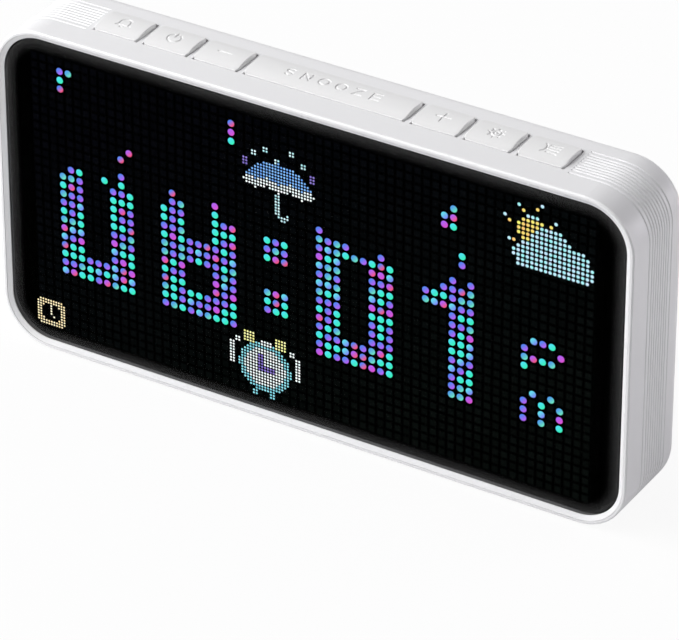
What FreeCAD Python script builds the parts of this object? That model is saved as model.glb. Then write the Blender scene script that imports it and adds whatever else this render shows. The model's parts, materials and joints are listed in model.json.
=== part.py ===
"""Dot matrix alarm clock: white moulded case with a wide display and a row of seven keys on top.

Every size is in millimetres. The clock stands on its feet at z = 0 with its display facing -Y,
and the origin is the middle of its footprint. Places from front to back are written as a depth
behind the front face, and the function at() turns a depth into a y coordinate.
"""
import FreeCAD, Part
import math
import os
from FreeCAD import Vector

# Case
case_width = 216.0
case_height = 110.0
case_depth = 32.0
corner_radius = 16.0
wall = 2.0
front_chamfer = 0.45
rear_round = 5.0
fit_gap = 0.1

# Front opening: a bead, then a sloped frame, then the window
bead_width = 1.15
frame_width = 1.4
frame_drop = 0.9
frame_step = 0.12
frame_thickness = 1.2

# Fine grooves round the case, a border groove before and after the even ones
groove_start = 9.45
groove_border = 1.85
groove_pitch = 1.4
groove_count = 8
groove_width = 0.74
groove_depth = 0.42

# Display stack behind the frame
lens_thickness = 2.0
mask_thickness = 2.0
mask_corner_cut = 5.0
gasket_width = 2.5
led_board_thickness = 1.6
display_ledge_width = 3.0
display_ledge_thickness = 1.5

# Keys
key_names = ["bell_key", "power_key", "minus_key", "snooze_key", "plus_key", "settings_key", "brightness_key"]
wide_key = "snooze_key"
key_length = 15.4
wide_key_length = 54.4
key_run = 11.8
key_gap = 2.0
key_clearance = 0.2
key_corner = 0.7
key_front_rise = 0.3
key_peak_rise = 1.5
key_peak_share = 0.6
key_rear_rise = 0.75
key_skin = 1.0
key_wall = 1.2
key_travel = 0.5
key_flange_reach = 0.6
key_flange_thickness = 1.0
key_stem_drop = 1.0

# Switches under the keys, on a board that snaps in between hooks
switch_side = 6.0
switch_height = 3.5
plunger_side = 3.2
plunger_rise = 1.2
plunger_engagement = 1.5
running_gap = 0.05
plunger_floor_gap = 0.3
key_board_thickness = 1.2
key_board_margin = 4.0
key_board_gap = 0.1
key_rail_thickness = 1.2
hook_thickness = 1.5
hook_width = 6.0
hook_reach = 0.8
hook_margin = 12.0
hook_pairs = 4

# Rear cover and its seat
cover_inset = 5.3
cover_thickness = 2.0
cover_ledge_width = 1.4
cover_ledge_thickness = 1.5
cover_gap = 0.15
cover_post_inset = 20.0
cover_post_rise = 10.0
cover_post_side = 6.4
cover_post_length = 14.0
cover_tab_x = 60.0
cover_tab_width = 12.0
cover_tab_thickness = 1.2
cover_tab_reach = 1.2
screw_shank_radius = 1.2
screw_head_radius = 2.3
screw_head_height = 1.2
screw_length = 9.0
screw_tip_gap = 0.3

# Feet
foot_length = 18.0
foot_width = 4.6
foot_thickness = 1.2
foot_stand = 0.6
foot_gap = 0.1
foot_x = 78.0
foot_front_depth = 6.0
foot_rear_depth = 24.0

# Main board, carried by posts on the rear cover
main_board_x = -20.0
main_board_drop = 22.7
main_board_width = 84.0
main_board_height = 56.0
main_board_thickness = 1.6
board_post_side = 5.0
board_post_inset = 2.5
board_clip_gap = 0.1
board_clip_width = 10.0
board_clip_reach = 1.0
board_part_margin = 8.0
board_edge_margin = 2.5
header_length = 20.3
header_width = 5.0
header_height = 2.54
socket_height = 8.5
header_z_offset = 12.0
chip_width = 8.6
chip_height = 6.0
chip_thickness = 1.6
chip_columns = 8
chip_rows = 2
chip_row_spacing = 56.0
processor_side = 10.0
processor_thickness = 1.2
radio_width = 25.5
radio_height = 18.0
radio_thickness = 0.8
shield_width = 17.6
shield_height = 15.8
shield_thickness = 2.2

# Clock backup cell
cell_radius = 6.25
cell_thickness = 2.0
holder_side = 17.0
holder_floor = 1.2
holder_wall_height = 2.2

# Power socket
port_x = 6.0
port_rise = 10.0
port_width = 8.94
port_height = 3.16
port_shell = 0.3
port_tongue_width = 6.7
port_tongue_thickness = 0.7
port_tongue_short = 0.8
port_base_depth = 2.0
port_clearance = 0.3
port_set_back = 0.3

# Loudspeaker behind the rear cover, in a frame moulded on the cover
speaker_x = 62.0
speaker_rise = 4.0
speaker_width = 44.0
speaker_height = 26.0
speaker_depth = 8.0
speaker_wall = 1.5
speaker_gasket = 0.5
speaker_gasket_width = 1.5
diaphragm_thickness = 0.6
diaphragm_set_back = 1.0
magnet_side = 12.0
magnet_depth = 4.0
cradle_wall = 1.4
cradle_height = 4.0
cradle_gap = 0.15
slot_pitch = 3.6
slot_width = 1.6
slot_length = 30.0
slot_count = 5

# Flat cable and speaker lead
cable_x = -2.0
cable_width = 11.0
cable_thickness = 0.4
cable_bow = 3.0
cable_bend = 2.5
cable_socket_width = 14.0
cable_socket_depth = 2.6
cable_socket_height = 3.6
lead_width = 2.6
lead_thickness = 1.3
lead_bend = 3.0
lead_plug_width = 6.0
lead_plug_height = 6.0
lead_plug_depth = 4.0
lead_plug_length = 4.0

# Places that follow from the sizes above
half_width = case_width / 2
bottom_z = foot_stand
top_z = bottom_z + case_height
mid_z = bottom_z + case_height / 2
ceiling_z = top_z - wall
window_inset = bead_width + fit_gap + frame_width
lens_depth = frame_thickness
mask_depth = lens_depth + lens_thickness
led_depth = mask_depth + mask_thickness
led_back = led_depth + led_board_thickness
display_ledge_back = led_back + display_ledge_thickness
display_inset = wall + fit_gap
cover_depth = case_depth - cover_thickness
cover_ledge_depth = cover_depth - cover_ledge_thickness
groove_last = groove_start + 2 * groove_border + (groove_count - 1) * groove_pitch
key_middle = (groove_start + groove_last) / 2
key_front = key_middle - key_run / 2
key_rear = key_middle + key_run / 2
key_row_length = (len(key_names) - 1) * (key_length + key_gap) + wide_key_length
flange_z = ceiling_z - key_flange_thickness
plunger_top_z = flange_z - key_stem_drop
switch_top_z = plunger_top_z - plunger_rise
key_board_top_z = switch_top_z - switch_height
key_board_z = key_board_top_z - key_board_thickness
key_board_half = key_row_length / 2 + key_board_margin
main_board_top_z = key_board_z - main_board_drop
main_board_z = main_board_top_z - main_board_height / 2
port_z = main_board_top_z - main_board_height + port_rise
speaker_z = main_board_z + speaker_rise
main_board_depth = led_back + header_height + socket_height
main_board_back = main_board_depth + main_board_thickness
header_z = main_board_z + header_z_offset
cable_depth = main_board_back + cable_socket_depth / 2
hook_end = cover_ledge_depth - fit_gap
key_board_start = display_ledge_back + key_board_gap
key_board_end = hook_end - hook_thickness - key_board_gap
speaker_rear = cover_depth - speaker_gasket
speaker_front = speaker_rear - speaker_depth


def at(depth):
    """Turn a depth behind the front face into a y coordinate."""
    return depth - case_depth / 2


def save(node, shape):
    """Write one sub-part."""
    shape.exportStep("parts/" + node + ".step")


def rounded_outline(centre_x, centre_z, half_x, half_z, radius, depth):
    """Closed wire of a rounded rectangle that faces front, at one depth."""
    y = at(depth)
    run_x = half_x - radius
    run_z = half_z - radius
    diagonal = radius * math.sqrt(0.5)
    edges = []
    for quarter in range(4):
        sign_x = (1, -1, -1, 1)[quarter]
        sign_z = (1, 1, -1, -1)[quarter]
        middle = Vector(centre_x + sign_x * (run_x + diagonal), y, centre_z + sign_z * (run_z + diagonal))
        on_side = Vector(centre_x + sign_x * half_x, y, centre_z + sign_z * run_z)
        on_flat = Vector(centre_x + sign_x * run_x, y, centre_z + sign_z * half_z)
        start, end = (on_side, on_flat) if quarter % 2 == 0 else (on_flat, on_side)
        if edges:
            previous = edges[-1].Vertexes[-1].Point
            if previous.distanceToPoint(start) > 1e-6:
                edges.append(Part.makeLine(previous, start))
        edges.append(Part.Arc(start, middle, end).toShape())
    first = edges[0].Vertexes[0].Point
    last = edges[-1].Vertexes[-1].Point
    if last.distanceToPoint(first) > 1e-6:
        edges.append(Part.makeLine(last, first))
    return Part.Wire(edges)


def case_outline(inset, depth):
    """Outline of the case, moved in by an inset, at one depth."""
    half_x = half_width - inset
    half_z = case_height / 2 - inset
    return rounded_outline(0, mid_z, half_x, half_z, corner_radius - inset, depth)


def case_slab(inset, start, end):
    """Solid slab with the case's outline, from one depth to another."""
    return Part.Face(case_outline(inset, start)).extrude(Vector(0, end - start, 0))


def box(x0, x1, start, end, z0, z1):
    """Box between two x, two depths and two heights."""
    return Part.makeBox(x1 - x0, end - start, z1 - z0, Vector(x0, at(start), z0))


def cut_corner_plate(inset, corner_cut, start, end):
    """Upright plate inside the case with its four corners cut off, between two depths."""
    plate = block(0, mid_z, case_width - 2 * inset, case_height - 2 * inset, start, end)
    corners = [edge for edge in plate.Edges if abs(edge.Vertexes[0].Y - edge.Vertexes[1].Y) > fit_gap]
    return plate.makeChamfer(corner_cut, corners)


def block(x, z, size_x, size_z, start, end):
    """Box centred on x and z, between two depths."""
    return box(x - size_x / 2, x + size_x / 2, start, end, z - size_z / 2, z + size_z / 2)


def rod_back(x, z, radius, start, end):
    """Cylinder that runs from front to back."""
    return Part.makeCylinder(radius, end - start, Vector(x, at(start), z), Vector(0, 1, 0))


def long_hole(x, z, size_x, size_z, start, end):
    """Slab with round ends, for slots and for the power socket."""
    outline = rounded_outline(x, z, size_x / 2, size_z / 2, min(size_x, size_z) / 2, start)
    return Part.Face(outline).extrude(Vector(0, end - start, 0))


def rounded_route(points, radius):
    """Wire of straight runs joined by tangent arcs."""
    edges = []
    here = points[0]
    for before, corner, after in zip(points, points[1:], points[2:]):
        way_in = (corner - before).normalize()
        way_out = (after - corner).normalize()
        half_turn = way_in.getAngle(way_out) / 2
        reach = radius * math.tan(half_turn)
        start = corner - way_in * reach
        end = corner + way_out * reach
        inward = (way_out - way_in).normalize()
        middle = corner + inward * (radius / math.cos(half_turn) - radius)
        edges.append(Part.makeLine(here, start))
        edges.append(Part.Arc(start, middle, end).toShape())
        here = end
    edges.append(Part.makeLine(here, points[-1]))
    return Part.Wire(edges)


def key_spans():
    """Name and both ends of each key along x."""
    spans = []
    x = -key_row_length / 2
    for name in key_names:
        length = wide_key_length if name == wide_key else key_length
        spans.append((name, x, x + length))
        x += length + key_gap
    return spans


def cover_post_places():
    """Middle of each post for the rear cover's screws, near the lower corners."""
    reach_x = half_width - cover_post_inset
    return [(side * reach_x, bottom_z + cover_post_rise) for side in (-1, 1)]


def board_post_places():
    """Middle of each post that the main board rests on."""
    reach_x = main_board_width / 2 - board_post_inset
    reach_z = main_board_height / 2 - board_post_inset
    return [(main_board_x + sx * reach_x, main_board_z + sz * reach_z) for sx in (-1, 1) for sz in (-1, 1)]


def foot_places():
    """Middle of each foot, as x and depth."""
    return [(side * foot_x, depth) for side in (-1, 1) for depth in (foot_front_depth, foot_rear_depth)]


def groove_depths():
    """Depth of the middle of every groove."""
    first = groove_start + groove_border
    inner = [first + number * groove_pitch for number in range(groove_count)]
    return [groove_start] + inner + [groove_last]


def groove_cutter(depth):
    """Ring with a V section that cuts one groove into the case."""
    start = depth - groove_width / 2
    end = depth + groove_width / 2
    floor = case_outline(groove_depth, depth)
    core = Part.makeLoft([case_outline(0, start), floor], True, True)
    core = core.fuse(Part.makeLoft([floor, case_outline(0, end)], True, True))
    return case_slab(-groove_depth, start, end).cut(core)


def edges_at(shape, depth):
    """Edges of a shape that lie flat at one depth."""
    return [edge for edge in shape.Edges if all(abs(v.Y - at(depth)) < 1e-6 for v in edge.Vertexes)]


def case_blank():
    """Solid case with its chamfered front edge and rounded rear edge."""
    blank = case_slab(0, 0, case_depth)
    blank = blank.makeChamfer(front_chamfer, edges_at(blank, 0))
    return blank.makeFillet(rear_round, edges_at(blank, case_depth))


def key_block(x0, x1, grow, z0, z1):
    """Upright square-cornered block with a key's plan, grown on every side."""
    return box(x0 - grow, x1 + grow, key_front - grow, key_rear + grow, z0, z1)


def foot_pad(x, depth, grow, z0, z1):
    """Upright slab with a foot's plan, grown on every side."""
    half_length = foot_length / 2 + grow
    half_foot = foot_width / 2 + grow
    return box(x - half_length, x + half_length, depth - half_foot, depth + half_foot, z0, z1)


def wall_rails(inset, reach, start, end):
    """Four straight rails inside the walls, between the rounded corners."""
    run_x = half_width - corner_radius
    run_z = case_height / 2 - corner_radius
    rails = []
    for side in (-1, 1):
        low_z, high_z = sorted(mid_z + side * (case_height / 2 - place) for place in (inset, reach))
        low_x, high_x = sorted(side * (half_width - place) for place in (inset, reach))
        rails.append(box(-run_x, run_x, start, end, low_z, high_z))
        rails.append(box(low_x, high_x, start, end, mid_z - run_z, mid_z + run_z))
    return rails


def main_housing():
    """Band-shaped shell with grooves, key openings, ledges, posts and foot pockets."""
    shell = case_blank()
    key_zone_half = key_row_length / 2 + key_gap
    key_zone = box(-key_zone_half, key_zone_half, 0, case_depth, ceiling_z, top_z + wall)
    grooves = [groove_cutter(depth) for depth in groove_depths()]
    shell = shell.cut(Part.makeCompound(grooves).cut(key_zone))
    shell = shell.cut(case_slab(bead_width, -wall, frame_thickness))
    shell = shell.cut(case_slab(wall, frame_thickness, cover_ledge_depth))
    shell = shell.cut(case_slab(cover_inset, cover_ledge_depth, case_depth + wall))
    for name, x0, x1 in key_spans():
        shell = shell.cut(key_block(x0, x1, key_clearance, ceiling_z - wall, top_z + wall))
    for x, depth in foot_places():
        shell = shell.cut(foot_pad(x, depth, foot_gap, 0, foot_thickness))
    display_reach = wall + display_ledge_width
    shell = shell.fuse(wall_rails(wall / 2, display_reach, led_back, display_ledge_back))
    cover_reach = cover_inset + cover_ledge_width
    shell = shell.fuse(wall_rails(wall, cover_reach, cover_ledge_depth, cover_depth))
    shell = shell.fuse(cover_posts())
    shell = shell.fuse(key_board_mounts())
    for x, z in cover_post_places():
        bore_start = cover_depth - screw_length
        shell = shell.cut(rod_back(x, z, screw_shank_radius + running_gap, bore_start, cover_depth))
    return shell.removeSplitter()


def cover_posts():
    """Posts on the bottom wall for the rear cover's screws."""
    half = cover_post_side / 2
    start = cover_depth - cover_post_length
    root_z = bottom_z + foot_thickness
    return [box(x - half, x + half, start, cover_depth, root_z, z + half) for x, z in cover_post_places()]


def key_board_mounts():
    """Rail in front of the keys and snap hooks that hold the key board under the top wall."""
    root_z = top_z - wall / 2
    toe_z = key_board_z - hook_thickness
    rail_start = display_ledge_back - hook_thickness
    rail_end = display_ledge_back + key_rail_thickness
    mounts = [box(-key_board_half, key_board_half, rail_start, rail_end, key_board_top_z, root_z)]
    outer = key_board_half - hook_margin
    spacing = 2 * outer / (hook_pairs - 1)
    for number in range(hook_pairs):
        x0 = number * spacing - outer - hook_width / 2
        x1 = x0 + hook_width
        mounts.append(box(x0, x1, rail_start, display_ledge_back, toe_z, root_z))
        mounts.append(box(x0, x1, rail_start, key_board_start + hook_reach, toe_z, key_board_z))
        mounts.append(box(x0, x1, hook_end - hook_thickness, hook_end, toe_z, root_z))
        mounts.append(box(x0, x1, key_board_end - hook_reach, hook_end, toe_z, key_board_z))
    return mounts


def front_frame():
    """Thin ring that slopes from the bead down to the window."""
    outer_inset = bead_width + fit_gap
    ring = case_slab(outer_inset, frame_step, frame_thickness)
    top = case_outline(outer_inset, frame_step)
    foot = case_outline(window_inset, frame_drop)
    ring = ring.cut(Part.makeLoft([top, foot], True, True))
    return ring.cut(case_slab(window_inset, frame_drop, frame_thickness))


def display_lens():
    """Smoked window that fills the case from wall to wall."""
    return case_slab(display_inset, lens_depth, mask_depth)


def display_gasket():
    """Foam ring between the window and the LED board."""
    ring = case_slab(display_inset, mask_depth, led_depth)
    return ring.cut(cut_corner_plate(display_inset + gasket_width, mask_corner_cut, mask_depth, led_depth))


def dot_mask():
    """Black plate that keeps the dots apart, inside the gasket."""
    inset = display_inset + gasket_width + fit_gap
    return cut_corner_plate(inset, mask_corner_cut, mask_depth, led_depth)


def led_board():
    """Circuit board of the dot matrix with cut corners, clamped against the rails."""
    inset = display_inset + fit_gap
    return cut_corner_plate(inset, corner_radius - inset, led_depth, led_back)


def led_drivers():
    """Driver chips on the back of the LED board."""
    spacing = 2 * (half_width - display_inset - gasket_width - chip_width) / (chip_columns - 1)
    chips = []
    for column in range(chip_columns):
        for row in range(chip_rows):
            x = (column - (chip_columns - 1) / 2) * spacing
            z = mid_z + (row - (chip_rows - 1) / 2) * chip_row_spacing
            chips.append(block(x, z, chip_width, chip_height, led_back, led_back + chip_thickness))
    return Part.makeCompound(chips)


def led_header():
    """Pin header base on the LED board."""
    return block(main_board_x, header_z, header_length, header_width, led_back, led_back + header_height)


def stacking_socket():
    """Tall socket on the front of the main board that meets the header."""
    start = led_back + header_height
    return block(main_board_x, header_z, header_length, header_width, start, main_board_depth)


def key_profile():
    """Side view of a key cap: low in front, highest past the middle, lower again at the rear."""
    front_top = Vector(0, at(key_front), top_z + key_front_rise)
    peak = Vector(0, at(key_front + key_run * key_peak_share), top_z + key_peak_rise)
    rear_top = Vector(0, at(key_rear), top_z + key_rear_rise)
    front_foot = Vector(0, at(key_front), flange_z)
    rear_foot = Vector(0, at(key_rear), flange_z)
    edges = [Part.makeLine(front_foot, front_top)]
    edges.append(Part.Arc(front_top, peak, rear_top).toShape())
    edges.append(Part.makeLine(rear_top, rear_foot))
    edges.append(Part.makeLine(rear_foot, front_foot))
    return Part.Face(Part.Wire(edges))


def key_cap(x0, x1):
    """Hollow crowned cap with a retaining flange and a stem for its switch."""
    plan = key_block(x0, x1, 0, flange_z, top_z + 2 * key_peak_rise)
    upright = [edge for edge in plan.Edges if abs(edge.Vertexes[0].Z - edge.Vertexes[1].Z) > key_travel]
    crown = key_profile().extrude(Vector(x1 - x0, 0, 0))
    crown.translate(Vector(x0, 0, 0))
    cap = crown.common(plan.makeFillet(key_corner, upright))
    cap = cap.fuse(key_block(x0, x1, key_flange_reach, flange_z, ceiling_z))
    skin_z = top_z + key_front_rise - key_skin
    cap = cap.cut(key_block(x0, x1, -key_wall, flange_z, skin_z))
    stem = square_post((x0 + x1) / 2, 0, plunger_top_z, skin_z + key_skin / 2)
    return cap.fuse(stem).removeSplitter()


def square_post(x, grow, z0, z1):
    """Upright square post with a plunger's plan, under the middle of a key."""
    half = plunger_side / 2 + grow
    return box(x - half, x + half, key_middle - half, key_middle + half, z0, z1)


def switch_plunger(x):
    """Square plunger of one switch, under its key's stem."""
    return square_post(x, 0, switch_top_z - plunger_engagement, plunger_top_z)


def key_switches():
    """Switch bodies on the key board, one under each key."""
    half = switch_side / 2
    well_z = switch_top_z - plunger_engagement - key_travel - plunger_floor_gap
    bodies = []
    for name, x0, x1 in key_spans():
        x = (x0 + x1) / 2
        body = box(x - half, x + half, key_middle - half, key_middle + half, key_board_top_z, switch_top_z)
        bodies.append(body.cut(square_post(x, running_gap, well_z, switch_top_z)))
    return Part.makeCompound(bodies)


def key_board():
    """Long circuit board under the keys, held by the hooks."""
    return box(-key_board_half, key_board_half, key_board_start, key_board_end, key_board_z, key_board_top_z)


def screw_body(x, z, grow, tip):
    """Countersunk screw form, grown sideways, with its head flush in the cover."""
    neck = case_depth - screw_head_height
    shank = rod_back(x, z, screw_shank_radius + grow, tip, neck)
    head = Part.makeCone(screw_shank_radius + grow, screw_head_radius + grow, screw_head_height,
                         Vector(x, at(neck), z), Vector(0, 1, 0))
    return shank.fuse(head).removeSplitter()


def rear_cover():
    """Flat cover with screw holes, sound slots, power opening, board carrier and speaker cradle."""
    inner = cover_depth
    cover = case_slab(cover_inset + cover_gap, inner, case_depth)
    for x, z in cover_post_places():
        cover = cover.cut(screw_body(x, z, running_gap, inner))
    for number in range(slot_count):
        z = speaker_z + (number - (slot_count - 1) / 2) * slot_pitch
        cover = cover.cut(block(speaker_x, z, slot_length, slot_width, inner, case_depth))
    opening_width = port_width + 2 * port_clearance
    opening_height = port_height + 2 * port_clearance
    cover = cover.cut(long_hole(port_x, port_z, opening_width, opening_height, inner, case_depth))
    cover = cover.fuse(board_carrier() + cover_tabs() + [speaker_cradle()])
    return cover.removeSplitter()


def board_carrier():
    """Posts that the main board rests on, and two clips that hold its sides."""
    carrier = [block(x, z, board_post_side, board_post_side, main_board_back, cover_depth)
               for x, z in board_post_places()]
    toe_start = main_board_depth - hook_thickness
    half = main_board_height / 2 + board_clip_gap
    x0 = main_board_x - board_clip_width / 2
    x1 = x0 + board_clip_width
    for side in (-1, 1):
        edge = main_board_z + side * half
        outer = edge + side * hook_thickness
        toe = edge - side * board_clip_reach
        carrier.append(box(x0, x1, toe_start, cover_depth, min(edge, outer), max(edge, outer)))
        carrier.append(box(x0, x1, toe_start, main_board_depth, min(toe, outer), max(toe, outer)))
    return carrier


def cover_tabs():
    """Two tabs at the cover's top edge that catch in front of the top rail."""
    rail_z = top_z - cover_inset - cover_ledge_width
    leg_top = rail_z - cover_gap
    toe_end = cover_ledge_depth - cover_gap
    toe_start = toe_end - cover_tab_thickness
    tabs = []
    for side in (-1, 1):
        x0 = side * cover_tab_x - cover_tab_width / 2
        x1 = x0 + cover_tab_width
        tabs.append(box(x0, x1, toe_start, cover_depth, leg_top - cover_tab_thickness, leg_top))
        tabs.append(box(x0, x1, toe_start, toe_end, leg_top - cover_tab_thickness, leg_top + cover_tab_reach))
    return tabs


def speaker_cradle():
    """Low wall on the cover round the speaker, with a gap for its lead."""
    start = cover_depth - cradle_height
    inner_width = speaker_width + 2 * cradle_gap
    inner_height = speaker_height + 2 * cradle_gap
    outer_width = inner_width + 2 * cradle_wall
    outer_height = inner_height + 2 * cradle_wall
    cradle = block(speaker_x, speaker_z, outer_width, outer_height, start, cover_depth)
    cradle = cradle.cut(block(speaker_x, speaker_z, inner_width, inner_height, start, cover_depth))
    notch_x = speaker_x - outer_width / 2
    return cradle.cut(block(notch_x, speaker_z, 4 * cradle_wall, 2 * lead_width, start, cover_depth))


def cover_screws():
    """Screws that hold the rear cover on its posts."""
    tip = cover_depth - screw_length + screw_tip_gap
    return Part.makeCompound([screw_body(x, z, 0, tip) for x, z in cover_post_places()])


def rubber_feet():
    """Long feet, set in pockets in the bottom wall."""
    return Part.makeCompound([foot_pad(x, depth, 0, 0, foot_thickness) for x, depth in foot_places()])


def main_board():
    """Board with the processor, held between the posts and clips of the rear cover."""
    return block(main_board_x, main_board_z, main_board_width, main_board_height,
                 main_board_depth, main_board_back)


def processor():
    """Main chip in the middle of the main board's rear face."""
    return block(main_board_x, main_board_z, processor_side, processor_side, main_board_back,
                 main_board_back + processor_thickness)


def radio_place():
    """Middle of the radio board, near the main board's top left corner."""
    x = main_board_x - main_board_width / 2 + board_part_margin + radio_width / 2
    z = main_board_top_z - board_edge_margin - radio_height / 2
    return x, z


def radio_board():
    """Small radio board soldered on the main board."""
    x, z = radio_place()
    return block(x, z, radio_width, radio_height, main_board_back, main_board_back + radio_thickness)


def radio_shield():
    """Metal can over the radio chip."""
    x, z = radio_place()
    start = main_board_back + radio_thickness
    shift = (radio_width - shield_width) / 2 - fit_gap
    return block(x + shift, z, shield_width, shield_height, start, start + shield_thickness)


def cell_place():
    """Middle of the backup cell, near the main board's lower left corner."""
    x = main_board_x - main_board_width / 2 + board_part_margin + holder_side / 2
    z = main_board_top_z - main_board_height + board_edge_margin + holder_side / 2
    return x, z


def cell_holder():
    """Open square holder for the backup cell."""
    x, z = cell_place()
    floor = main_board_back + holder_floor
    well = 2 * (cell_radius + fit_gap)
    holder = block(x, z, holder_side, holder_side, main_board_back, floor + holder_wall_height)
    return holder.cut(block(x, z, well, well, floor, floor + holder_wall_height))


def backup_cell():
    """Round flat cell in its holder."""
    x, z = cell_place()
    floor = main_board_back + holder_floor
    return rod_back(x, z, cell_radius, floor, floor + cell_thickness)


def port_mouth():
    """Depth at which the power socket opens."""
    return case_depth - port_set_back


def power_socket():
    """Flat round-ended metal shell, open to the rear."""
    shell = long_hole(port_x, port_z, port_width, port_height, main_board_back, port_mouth())
    inner_width = port_width - 2 * port_shell
    inner_height = port_height - 2 * port_shell
    base = main_board_back + port_base_depth
    return shell.cut(long_hole(port_x, port_z, inner_width, inner_height, base, port_mouth()))


def socket_tongue():
    """Contact tongue in the middle of the power socket."""
    base = main_board_back + port_base_depth
    tip = port_mouth() - port_tongue_short
    return block(port_x, port_z, port_tongue_width, port_tongue_thickness, base, tip)


def speaker_frame():
    """Box-shaped body of the speaker, open to the rear."""
    body = block(speaker_x, speaker_z, speaker_width, speaker_height, speaker_front, speaker_rear)
    well_width = speaker_width - 2 * speaker_wall
    well_height = speaker_height - 2 * speaker_wall
    floor = speaker_front + speaker_wall
    return body.cut(block(speaker_x, speaker_z, well_width, well_height, floor, speaker_rear))


def speaker_diaphragm():
    """Thin plate near the speaker's mouth."""
    width = speaker_width - 2 * speaker_wall - 2 * fit_gap
    height = speaker_height - 2 * speaker_wall - 2 * fit_gap
    rear = speaker_rear - diaphragm_set_back
    return block(speaker_x, speaker_z, width, height, rear - diaphragm_thickness, rear)


def speaker_magnet():
    """Square magnet on the floor of the speaker's well."""
    floor = speaker_front + speaker_wall
    return block(speaker_x, speaker_z, magnet_side, magnet_side, floor, floor + magnet_depth)


def speaker_gasket_ring():
    """Foam ring between the speaker and the rear cover."""
    ring = block(speaker_x, speaker_z, speaker_width, speaker_height, speaker_rear, cover_depth)
    inner_width = speaker_width - 2 * speaker_gasket_width
    inner_height = speaker_height - 2 * speaker_gasket_width
    return ring.cut(block(speaker_x, speaker_z, inner_width, inner_height, speaker_rear, cover_depth))


def lead_place():
    """Right edge of the main board, where the speaker lead plugs in."""
    return main_board_x + main_board_width / 2 - lead_plug_length


def lead_socket():
    """Socket for the speaker lead on the main board's rear face."""
    x1 = lead_place()
    half = lead_plug_height / 2
    return box(x1 - lead_plug_width, x1, main_board_back, main_board_back + lead_plug_depth,
               speaker_z - half, speaker_z + half)


def lead_plug():
    """Plug at the board end of the speaker lead."""
    x0 = lead_place()
    half = lead_plug_height / 2
    return box(x0, x0 + lead_plug_length, main_board_back, main_board_back + lead_plug_depth,
               speaker_z - half, speaker_z + half)


def speaker_lead():
    """Short flat twin lead from the plug to the speaker."""
    start_x = lead_place() + lead_plug_length
    end_x = speaker_x - speaker_width / 2
    plug_y = at(main_board_back + lead_plug_depth / 2)
    speaker_y = at((speaker_front + speaker_rear) / 2)
    share = (end_x - start_x) / 3
    points = [Vector(start_x, plug_y, speaker_z), Vector(start_x + share, plug_y, speaker_z),
              Vector(end_x - share, speaker_y, speaker_z), Vector(end_x, speaker_y, speaker_z)]
    route = rounded_route(points, lead_bend)
    low = Vector(0, -lead_thickness / 2, -lead_width / 2)
    high = Vector(0, lead_thickness / 2, -lead_width / 2)
    up = Vector(0, 0, lead_width)
    corners = [points[0] + low, points[0] + high, points[0] + high + up, points[0] + low + up]
    section = Part.makePolygon(corners + corners[:1])
    return route.makePipeShell([section], True, False)


def key_cable_socket():
    """Socket for the flat cable, under the key board."""
    return block(cable_x, key_board_z - cable_socket_height / 2, cable_socket_width, cable_socket_height,
                 cable_depth - cable_socket_depth / 2, cable_depth + cable_socket_depth / 2)


def main_cable_socket():
    """Socket for the flat cable, on the main board's rear face at its top edge."""
    z = main_board_top_z - cable_socket_height / 2
    return block(cable_x, z, cable_socket_width, cable_socket_height, main_board_back,
                 main_board_back + cable_socket_depth)


def flat_cable():
    """Flat cable that bows between its two sockets."""
    start_z = key_board_z - cable_socket_height
    end_z = main_board_top_z
    fall = (start_z - end_z) / 4
    y = at(cable_depth)
    x = cable_x - cable_width / 2
    heights = [start_z, start_z - fall, (start_z + end_z) / 2, end_z + fall, end_z]
    offsets = [0, 0, cable_bow, 0, 0]
    points = [Vector(x, y + offset, z) for z, offset in zip(heights, offsets)]
    route = rounded_route(points, cable_bend)
    corners = [Vector(x, y + side * cable_thickness / 2, start_z) for side in (-1, 1)]
    far = [corner + Vector(cable_width, 0, 0) for corner in reversed(corners)]
    section = Part.makePolygon(corners + far + corners[:1])
    return route.makePipeShell([section], True, False)


def build():
    """Write every sub-part."""
    os.makedirs("parts", exist_ok=True)
    save("main_housing", main_housing())
    save("front_frame", front_frame())
    save("display_lens", display_lens())
    save("display_gasket", display_gasket())
    save("dot_mask", dot_mask())
    save("led_board", led_board())
    save("led_drivers", led_drivers())
    save("led_header", led_header())
    save("stacking_socket", stacking_socket())
    for name, x0, x1 in key_spans():
        save(name, key_cap(x0, x1))
        save(name.replace("_key", "_plunger"), switch_plunger((x0 + x1) / 2))
    save("key_switches", key_switches())
    save("key_board", key_board())
    save("rear_cover", rear_cover())
    save("cover_screws", cover_screws())
    save("rubber_feet", rubber_feet())
    save("main_board", main_board())
    save("processor", processor())
    save("radio_board", radio_board())
    save("radio_shield", radio_shield())
    save("cell_holder", cell_holder())
    save("backup_cell", backup_cell())
    save("power_socket", power_socket())
    save("socket_tongue", socket_tongue())
    save("speaker_frame", speaker_frame())
    save("speaker_diaphragm", speaker_diaphragm())
    save("speaker_magnet", speaker_magnet())
    save("speaker_gasket", speaker_gasket_ring())
    save("lead_socket", lead_socket())
    save("lead_plug", lead_plug())
    save("speaker_lead", speaker_lead())
    save("key_cable_socket", key_cable_socket())
    save("main_cable_socket", main_cable_socket())
    save("flat_cable", flat_cable())


build()
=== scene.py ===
"""Looks of the dot matrix alarm clock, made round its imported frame.

Lengths are in metres in the frame of the clock: +X to the right, +Y to the rear, +Z up, with the
display facing -Y and the feet on z = 0. Sizes that are easier to read in millimetres use MM.
"""
import json
import math

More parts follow.
